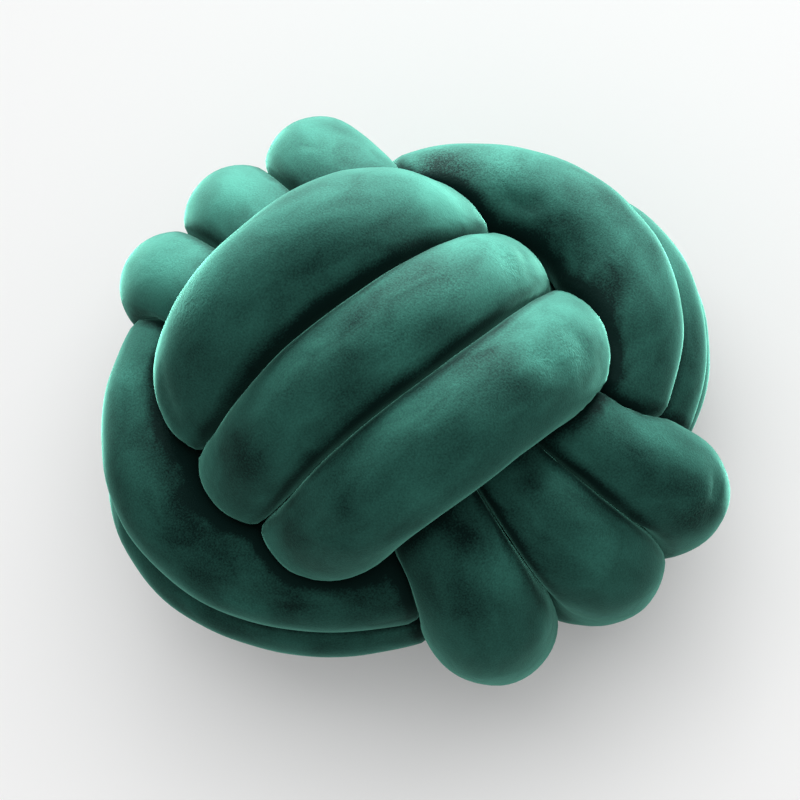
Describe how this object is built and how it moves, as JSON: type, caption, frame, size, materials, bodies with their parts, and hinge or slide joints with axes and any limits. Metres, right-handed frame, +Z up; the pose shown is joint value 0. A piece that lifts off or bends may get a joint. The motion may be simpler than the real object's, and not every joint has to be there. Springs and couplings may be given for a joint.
{
  "type": "knot cushion",
  "caption": "Ball-shaped decorative cushion: a stuffed velvet tube tied into a round knot, its bundled turns passing over and under each other.",
  "frame": {"origin": "on the surface it lies on, under the middle of its bounding box", "axes": "+Z up, out of the face that shows; +X along the tubes of that face; +Y across them"},
  "size_m": [0.3604, 0.3458, 0.3298],
  "materials": {
    "velvet": "short-pile velvet with a soft sheen"
  },
  "bodies": {
    "root": {"knot_tube": "velvet"}
  },
  "joints": []
}
